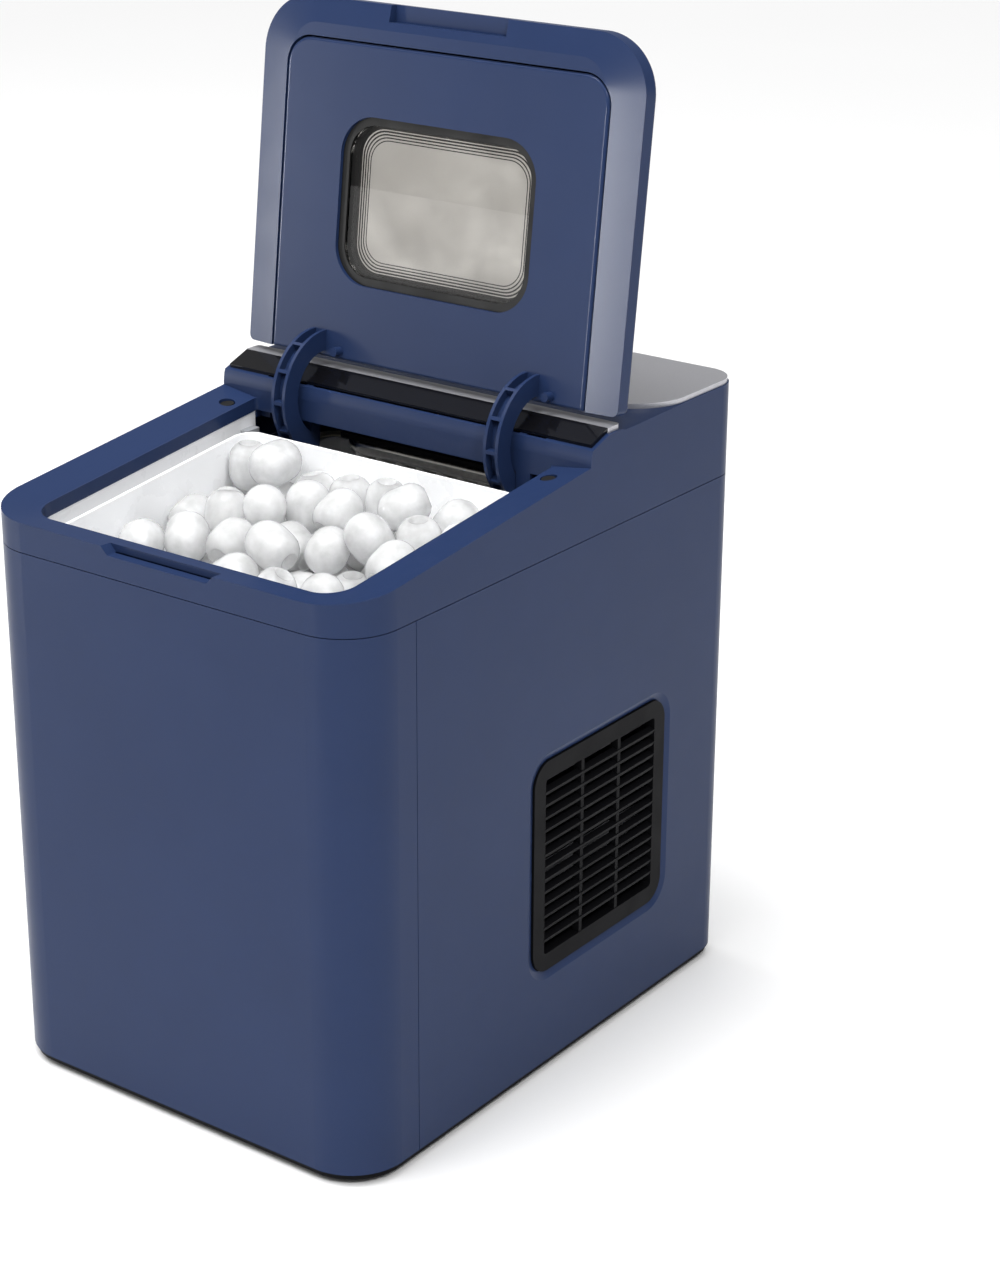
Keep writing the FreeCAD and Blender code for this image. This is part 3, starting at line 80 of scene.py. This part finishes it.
# ---------------------------------------------------------------- node materials
class Nodes:
    """A material's node tree, with short calls to add nodes and join them."""

    def __init__(self, name):
        self.material = bpy.data.materials.new(name)
        self.material.use_nodes = True
        self.tree = self.material.node_tree
        self.shader = self.tree.nodes["Principled BSDF"]
        self.place = self.add("ShaderNodeTexCoord").outputs["Object"]

    def add(self, kind, **inputs):
        node = self.tree.nodes.new(kind)
        for key, value in inputs.items():
            self.set(node, key, value)
        return node

    def set(self, node, key, value):
        socket = node.inputs[key.replace("_", " ")]
        if isinstance(value, bpy.types.NodeSocket):
            self.tree.links.new(value, socket)
        else:
            socket.default_value = value

    def scaled(self, scale):
        node = self.add("ShaderNodeMapping", Vector=self.place, Scale=scale)
        return node.outputs["Vector"]

    def noise(self, scale, detail=3.0, stretch=None):
        where = self.scaled(stretch) if stretch else self.place
        return self.add("ShaderNodeTexNoise", Vector=where, Scale=scale, Detail=detail).outputs[0]

    def spread(self, value, low, high, start=0.3, end=0.7):
        node = self.add("ShaderNodeMapRange", Value=value)
        for key, number in (("From Min", start), ("From Max", end), ("To Min", low), ("To Max", high)):
            node.inputs[key].default_value = number
        return node.outputs[0]

    def tones(self, value, first, second, start=0.35, end=0.65):
        ramp = self.add("ShaderNodeValToRGB", Fac=value)
        ramp.color_ramp.elements[0].position = start
        ramp.color_ramp.elements[1].position = end
        ramp.color_ramp.elements[0].color = (*first, 1)
        ramp.color_ramp.elements[1].color = (*second, 1)
        return ramp.outputs["Color"]

    def bump(self, height, strength, distance):
        node = self.add("ShaderNodeBump", Height=height, Strength=strength, Distance=distance)
        self.set(self.shader, "Normal", node.outputs[0])

    def finish(self, **inputs):
        for key, value in inputs.items():
            self.set(self.shader, key, value)
        return self.material


def shade(colour, factor):
    return tuple(min(1.0, c * factor) for c in colour)


def moulded(name, colour, roughness, grain=5200.0, relief=0.10, vary=0.10, **more):
    """A moulded plastic: a fine spark-eroded grain, faint flow clouds and handling marks in its gloss."""
    n = Nodes(name)
    cloud = n.noise(14.0)
    n.finish(Base_Color=n.tones(cloud, shade(colour, 1 - vary / 2), shade(colour, 1 + vary / 2)))
    marks = n.spread(n.noise(60.0, 5.0), roughness * 0.9, roughness * 1.12)
    n.finish(Roughness=marks, **more)
    n.bump(n.noise(grain, 2.0), relief, 0.00005)
    return n.material


def brushed(name, colour, roughness, stretch, metallic=1.0, relief=0.2, scale=900.0, **more):
    """A drawn or brushed metal: long fine streaks in its gloss and in its surface."""
    n = Nodes(name)
    streaks = n.noise(scale, 4.0, stretch)
    n.finish(Base_Color=n.tones(streaks, shade(colour, 0.92), shade(colour, 1.06)), Metallic=metallic)
    n.finish(Roughness=n.spread(streaks, roughness * 0.8, roughness * 1.25), **more)
    n.bump(streaks, relief, 0.00004)
    return n.material


BLUE = (0.016, 0.030, 0.083)
MATERIALS = {
    "blue_plastic": moulded("satin_navy_plastic", BLUE, 0.36, relief=0.05, vary=0.06,
                            Specular_IOR_Level=0.045, Coat_Weight=0.2, Coat_Roughness=0.16),
    "black_plastic": moulded("black_moulded_plastic", (0.005, 0.005, 0.006), 0.46, relief=0.14,
                             Specular_IOR_Level=0.05),
    "gloss_black": moulded("gloss_black_plastic", (0.004, 0.004, 0.005), 0.16, relief=0.01,
                           Specular_IOR_Level=0.2, Coat_Weight=0.25, Coat_Roughness=0.06),
    "silver_plastic": brushed("silver_painted_plastic", (0.50, 0.50, 0.53), 0.36, (1, 1, 1), metallic=0.7,
                              relief=0.08, scale=2600.0),
    "white_plastic": moulded("white_food_plastic", (0.965, 0.97, 0.98), 0.28, relief=0.06, vary=0.02),
    "rubber": moulded("black_rubber", (0.007, 0.007, 0.007), 0.66, relief=0.25, Specular_IOR_Level=0.2),
    "indicator": moulded("light_guide", (0.72, 0.76, 0.8), 0.2, relief=0.02, vary=0.06),
    "copper": brushed("drawn_copper", (0.80, 0.40, 0.24), 0.26, (1, 1, 1), scale=240.0),
    "nickel": brushed("nickel_plate", (0.66, 0.64, 0.60), 0.2, (1, 1, 1), scale=400.0),
    # the condenser fins' near-black colour is painted shade: it stands in for the dark inside of the housing seen
    # through the side grille
    "aluminium": brushed("shade_darkened_aluminium_fins", (0.07, 0.07, 0.075), 0.5, (1, 1, 30)),
    "compressor_paint": moulded("black_steel_paint", (0.012, 0.012, 0.013), 0.33, grain=900.0, relief=0.3),
    "steel": brushed("zinc_plated_steel", (0.58, 0.58, 0.60), 0.33, (1, 1, 1), scale=700.0),
    "circuit": moulded("solder_mask", (0.012, 0.10, 0.035), 0.25, grain=1500.0, relief=0.2, vary=0.5),
    "foam": moulded("expanded_foam", (0.80, 0.76, 0.62), 0.85, grain=700.0, relief=0.8, vary=0.15),
    "grey_plastic": moulded("grey_moulded_plastic", (0.34, 0.35, 0.37), 0.4, relief=0.12),
    "hose": moulded("silicone_hose", (0.72, 0.73, 0.73), 0.35, relief=0.05, vary=0.06,
                    Transmission_Weight=0.15),
}


def clear_lens(name, colour, roughness):
    """A moulded lens with faint wipe marks, clear or frosted by its roughness."""
    n = Nodes(name)
    wipes = n.noise(40.0, 6.0, (1, 5, 1))
    n.finish(Base_Color=(*colour, 1), Roughness=n.spread(wipes, roughness * 0.5, roughness * 1.5),
             Transmission_Weight=1.0, IOR=1.46, Specular_IOR_Level=0.12)
    return n.material


SMOKE = (0.73, 0.715, 0.69)
MATERIALS["lens"] = clear_lens("clear_lens", SMOKE, 0.004)
FROSTED_LENS = clear_lens("frosted_lens", SMOKE, 0.6)


def dress_nodes():
    for entry in frame["record"]["subparts"]:
        node = NODES[entry["node"]]
        node.data.materials.clear()
        frosted = entry["node"] == "window_outer_pane"
        node.data.materials.append(FROSTED_LENS if frosted else MATERIALS[entry["material_slot"]])


dress_nodes()


# ---------------------------------------------------------------- mesh helpers
def new_piece(name, mesh, body, material):
    piece = bpy.data.objects.new(name, mesh)
    bpy.context.scene.collection.objects.link(piece)
    mesh.materials.append(material)
    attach(piece, body)
    return piece


def rounded_outline(half_x, half_y, radius, steps=10):
    """The corner points of a rounded rectangle, anticlockwise."""
    points = []
    for quarter, (sx, sy) in enumerate(((1, 1), (-1, 1), (-1, -1), (1, -1))):
        for i in range(steps + 1):
            a = math.radians(90 * quarter + 90 * i / steps)
            points.append((sx * (half_x - radius) + radius * math.cos(a),
                           sy * (half_y - radius) + radius * math.sin(a)))
    return points


def ring_into(bm, outer, inner, low, high, place):
    """A flat closed ring between two outlines with as many points each."""
    rows = [[bm.verts.new(place @ Vector((x, y, z))) for x, y in line]
            for line, z in ((outer, high), (inner, high), (inner, low), (outer, low))]
    count = len(outer)
    for r in range(4):
        first, second = rows[r], rows[(r + 1) % 4]
        for i in range(count):
            j = (i + 1) % count
            bm.faces.new((first[i], first[j], second[j], second[i]))


def to_mesh(bm, name):
    bmesh.ops.recalc_face_normals(bm, faces=bm.faces[:])
    mesh = bpy.data.meshes.new(name)
    bm.to_mesh(mesh)
    bm.free()
    return mesh


# ---------------------------------------------------------------- printed lines round the window
LID_SLOPE = 6.1  # how far the closed lid slopes to the front, in degrees
LINE_COUNT = 6
LINE_PITCH = 1.5 * MM
LINE_WIDTH = 1.1 * MM
LINE_THINNING = 0.12 * MM
LINE_SHIFT = 0.6 * MM
LINE_TOP = 0.01 * MM
LINE_BOTTOM = 0.08 * MM
WINDOW_CORNER = 15 * MM
CORNER_SHARE = 0.6
HINGE = next(j for j in frame["joints"] if j["name"] == "lid_hinge")
OPEN_ANGLE = HINGE["range_deg"][1]
LID_PLACE = Matrix.Translation(HINGE["pos_m"]) @ Matrix.Rotation(math.radians(LID_SLOPE - OPEN_ANGLE), 4, "X")


def in_lid(node):
    """A lid piece's box in the lid's own frame, as lowest and highest corner."""
    back = LID_PLACE.inverted()
    points = [back @ v.co for v in NODES[node].data.vertices]
    return [Vector([pick(p[k] for p in points) for k in range(3)]) for pick in (min, max)]


def make_window_lines():
    low, high = in_lid("window_outer_pane")
    middle = (low + high) / 2
    half = (high - low) / 2
    print_ink = moulded("black_print", (0.01, 0.01, 0.01), 0.3, relief=0.02)
    place = LID_PLACE @ Matrix.Translation((0, middle.y, 0))
    bm = bmesh.new()
    for i in range(LINE_COUNT):
        start = i * LINE_PITCH - LINE_SHIFT if i else 0
        width = LINE_WIDTH - LINE_THINNING * i
        corner = WINDOW_CORNER - start * CORNER_SHARE
        outer = rounded_outline(half.x - start, half.y - start, corner)
        inner = rounded_outline(half.x - start - width, half.y - start - width, corner - width)
        ring_into(bm, outer, inner, low.z - LINE_BOTTOM, low.z - LINE_TOP, place)
    new_piece("window_print", to_mesh(bm, "window_print"), "lid", print_ink)


make_window_lines()


# ---------------------------------------------------------------- printed marks on the top plate
MARK = 0.05 * MM
MARK_LINE = 0.6 * MM
SIGN_PITCH = 12
SIGN_BEHIND_LENSES = 7 * MM


def arc_into(bm, centre, radius, width, start, end, level, steps=28):
    """A thin raised arc, from one angle to another in degrees."""
    rows = []
    for r, z in ((radius + width / 2, level + MARK), (radius - width / 2, level + MARK),
                 (radius - width / 2, level), (radius + width / 2, level)):
        rows.append([bm.verts.new((centre[0] + r * math.cos(a), centre[1] + r * math.sin(a), z))
                     for a in (math.radians(start + (end - start) * i / steps) for i in range(steps + 1))])
    for r in range(4):
        first, second = rows[r], rows[(r + 1) % 4]
        for i in range(steps):
            bm.faces.new((first[i], first[i + 1], second[i + 1], second[i]))
    for i in (0, steps):
        bm.faces.new([row[i] for row in rows])


def bar_into(bm, low, high, level):
    """A thin raised bar between two corners."""
    size = Vector((high[0] - low[0], high[1] - low[1], MARK))
    middle = Vector(((low[0] + high[0]) / 2, (low[1] + high[1]) / 2, level + MARK / 2))
    made = bmesh.ops.create_cube(bm, size=1)
    bmesh.ops.scale(bm, vec=size, verts=made["verts"])
    bmesh.ops.translate(bm, vec=middle, verts=made["verts"])


def cap_centre(node):
    """The middle of a button's top, and its height."""
    low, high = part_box(node)
    return ((low.x + high.x) / 2, (low.y + high.y) / 2), high.z


def make_marks():
    dark = moulded("dark_print", (0.02, 0.02, 0.022), 0.35, relief=0.02)
    line = MARK_LINE
    (x, y), level = cap_centre("power_button")
    bm = bmesh.new()
    arc_into(bm, (x, y), 2.6 * MM, line, 125, 415, level)
    bar_into(bm, (x - line / 2, y + 0.9 * MM), (x + line / 2, y + 3.4 * MM), level)
    new_piece("power_mark", to_mesh(bm, "power_mark"), "power_button", dark)
    (x, y), level = cap_centre("select_button")
    bm = bmesh.new()
    for shift, radius in ((-2.4, 1.1), (1.4, 2.0)):
        arc_into(bm, (x + shift * MM, y), radius * MM, line * 0.8, 0, 180, level)
        arc_into(bm, (x + shift * MM, y), radius * MM, line * 0.8, 180, 360, level)
    new_piece("size_mark", to_mesh(bm, "size_mark"), "select_button", dark)
    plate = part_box("top_plate")[1].z
    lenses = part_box("indicator_lenses")
    row = (lenses[0].y + lenses[1].y) / 2 - SIGN_BEHIND_LENSES
    bm = bmesh.new()
    for place in (-SIGN_PITCH, 0, SIGN_PITCH):
        x = place * MM
        arc_into(bm, (x, row), 1.7 * MM, 0.35 * MM, 0, 360 if place else 180, plate)
        bar_into(bm, (x - 2.6 * MM, row - 3.0 * MM), (x + 2.6 * MM, row - 2.65 * MM), plate)
    new_piece("plate_marks", to_mesh(bm, "plate_marks"), "root", dark)


make_marks()


# ---------------------------------------------------------------- ice
ICE_RADIUS = 11.0 * MM
ICE_REACH = 3.6 * MM
ICE_COUNT = 150
ICE_LAYER = 26
LID_ROOM = 6 * MM
ICE_STEPS = 420
ICE_FALL = np.array((0.02, 0.42, -1.0)) * 0.0009
ICE_SEED = 11
ICE_PUSH = 0.22
ICE_PRESS = 0.97
BASKET_WALL = 2.3 * MM
SLICES = 24


def settle_ice(low, high):
    """Drops bullets into a box, layer by layer, and lets them push each other apart.

    Each bullet is two balls a fixed way apart, kept under the closed lid. Returns both ends of each.
    """
    rng = np.random.default_rng(ICE_SEED)
    count = ICE_COUNT
    span = high - low - 2 * ICE_RADIUS
    layers = np.arange(count) // ICE_LAYER
    middle = low + ICE_RADIUS + rng.random((count, 3)) * span * [1, 1, 0.1]
    middle[:, 2] += layers * 2.2 * ICE_RADIUS
    lean = rng.normal(size=(count, 3))
    lean /= np.linalg.norm(lean, axis=1)[:, None]
    ends = np.stack([middle - lean * ICE_REACH, middle + lean * ICE_REACH], 1).reshape(-1, 3)
    owner = np.repeat(np.arange(count), 2)
    reach = 2 * ICE_RADIUS * ICE_PRESS
    pivot = HINGE["pos_m"]
    for step in range(ICE_STEPS):
        ends += ICE_FALL * (1 - 0.9 * step / ICE_STEPS)
        for _ in range(3):
            apart = ends[:, None, :] - ends[None, :, :]
            far = np.linalg.norm(apart, axis=2) + 1e-9
            near = (far < reach) & (owner[:, None] != owner[None, :])
            push = np.where(near, (reach - far) / far * ICE_PUSH, 0)[:, :, None] * apart
            ends += np.clip(push.sum(1), -2 * MM, 2 * MM)
            pairs = ends.reshape(-1, 2, 3)
            centre = pairs.mean(1)
            lean = pairs[:, 1] - pairs[:, 0]
            lean /= np.linalg.norm(lean, axis=1)[:, None] + 1e-9
            ends = np.stack([centre - lean * ICE_REACH, centre + lean * ICE_REACH], 1).reshape(-1, 3)
            ends = np.maximum(ends, low + ICE_RADIUS)
            ends[:, :2] = np.minimum(ends[:, :2], high[:2] - ICE_RADIUS)
            roof = pivot[2] - LID_ROOM - (pivot[1] - ends[:, 1]) * math.tan(math.radians(LID_SLOPE))
            ends[:, 2] = np.minimum(ends[:, 2], roof - ICE_RADIUS)
    return ends.reshape(-1, 2, 3)


def bullet_into(bm, base, tip, rng):
    """One hollow ice bullet: a round nose, a slightly tapered body and a bore left by the cold finger."""
    axis = (tip - base).normalized()
    side = axis.orthogonal().normalized()
    other = axis.cross(side)
    r = ICE_RADIUS * rng.uniform(0.9, 1.0)
    bore = r * rng.uniform(0.34, 0.46)
    depth = ICE_REACH * rng.uniform(0.6, 1.6)
    profile = []
    for i in range(8):
        a = math.radians(90 - 90 * i / 7)
        profile.append((r * math.cos(a), ICE_REACH + r * math.sin(a)))
    profile.append((r * 0.99, 0.0))
    for i in range(5):
        a = math.radians(15 * i)
        profile.append((r * 0.98 * math.cos(a), -ICE_REACH - r * 0.85 * math.sin(a)))
    profile += [(bore, -ICE_REACH - r * 0.72), (bore * 0.9, 0.0), (bore * 0.6, depth), (0.0, depth * 1.15)]
    middle = (base + tip) / 2
    rings = []
    phase = rng.uniform(0, 6.3, 3)
    for radius, height in profile:
        if radius < 1e-6:
            rings.append([bm.verts.new(middle + axis * height)])
            continue
        ring = []
        for k in range(SLICES):
            a = 2 * math.pi * k / SLICES
            wave = 1 + 0.012 * math.sin(2 * a + phase[0]) + 0.006 * math.sin(3 * a + phase[1] + height * 300)
            ring.append(bm.verts.new(middle + axis * height
                                     + (side * math.cos(a) + other * math.sin(a)) * radius * wave))
        rings.append(ring)
    for first, second in zip(rings, rings[1:]):
        for k in range(SLICES):
            j = (k + 1) % SLICES
            if len(first) == 1:
                bm.faces.new((first[0], second[k], second[j]))
            elif len(second) == 1:
                bm.faces.new((first[k], second[0], first[j]))
            else:
                bm.faces.new((first[k], second[k], second[j], first[j]))


def ice_material():
    n = Nodes("frosted_ice")
    cloud = n.noise(85.0, 4.0)
    n.finish(Base_Color=n.tones(cloud, (0.97, 0.98, 0.99), (1.0, 1.0, 1.0)))
    n.finish(Roughness=n.spread(n.noise(160.0, 4.0), 0.05, 0.16),
             Transmission_Weight=n.spread(cloud, 0.38, 0.62), IOR=1.31,
             Subsurface_Weight=0.9, Subsurface_Radius=(1, 1, 1), Subsurface_Scale=0.02)
    n.bump(n.noise(140.0, 3.0), 0.08, 0.0005)
    return n.material


def make_ice():
    low, high = (np.array(c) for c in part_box("ice_basket"))
    ends = settle_ice(low + BASKET_WALL, high - [BASKET_WALL, BASKET_WALL, 0])
    rng = np.random.default_rng(ICE_SEED + 1)
    bm = bmesh.new()
    for pair in ends:
        base, tip = (Vector(p) for p in pair)
        bullet_into(bm, base, tip, rng)
    mesh = to_mesh(bm, "ice_bullets")
    for face in mesh.polygons:
        face.use_smooth = True
    new_piece("ice_bullets", mesh, "basket", ice_material())


make_ice()


# ---------------------------------------------------------------- floor and light
FLOOR_HALF = 12.0
SUN_POWER = 2.4
SUN_ANGLE = 80
SUN_TILT = (14, -8, 0)
SKY_POWER = 0.28


def make_floor():
    bm = bmesh.new()
    bmesh.ops.create_grid(bm, x_segments=4, y_segments=4, size=FLOOR_HALF)
    floor = bpy.data.objects.new("floor", to_mesh(bm, "floor"))
    bpy.context.scene.collection.objects.link(floor)
    n = Nodes("floor_paint")
    n.finish(Base_Color=n.tones(n.noise(0.7), (0.95, 0.95, 0.95), (0.97, 0.97, 0.97)), Roughness=0.6)
    floor.data.materials.append(n.material)


def make_sun():
    data = bpy.data.lights.new("overhead", "SUN")
    data.energy = SUN_POWER
    data.angle = math.radians(SUN_ANGLE)
    sun = bpy.data.objects.new("overhead", data)
    bpy.context.scene.collection.objects.link(sun)
    sun.rotation_euler = [math.radians(a) for a in SUN_TILT]


def make_sky():
    world = bpy.data.worlds.new("studio")
    bpy.context.scene.world = world
    world.use_nodes = True
    sky = world.node_tree.nodes["Background"]
    sky.inputs["Color"].default_value = (1, 1, 1, 1)
    sky.inputs["Strength"].default_value = SKY_POWER


def make_light(name, place, target, size, power, sheen_only=False):
    data = bpy.data.lights.new(name, "AREA")
    data.shape = "RECTANGLE"
    data.size, data.size_y = size
    data.energy = power
    light = bpy.data.objects.new(name, data)
    bpy.context.scene.collection.objects.link(light)
    aim = (Vector(target) - Vector(place)).to_track_quat("-Z", "Y")
    light.matrix_world = Matrix.Translation(place) @ aim.to_matrix().to_4x4()
    light.visible_camera = False
    light.visible_diffuse = not sheen_only


make_floor()
CENTRE = (0.0, 0.0, 0.18)
make_light("key", (1.15, -0.75, 1.45), (0.1, 0.07, 0.3), (0.4, 0.4), 13)
make_light("front", (-0.35, -0.8, 1.9), (0.0, -0.06, 0.28), (0.8, 0.6), 10)
make_light("over_basket", (0.0, -0.12, 1.35), (0.0, -0.08, 0.25), (0.25, 0.25), 3.6)
make_light("left", (-2.0, 0.3, 1.2), CENTRE, (0.8, 1.4), 7)
make_light("low_front", (-0.65, -2.1, 0.35), (0.1, 0.04, 0.4), (0.25, 0.5), 26, sheen_only=True)
make_light("low_left", (-1.6, -1.2, 0.32), (-0.1, 0.04, 0.4), (0.25, 0.4), 28, sheen_only=True)
make_sun()
make_sky()
bpy.context.scene.view_settings.view_transform = "Standard"
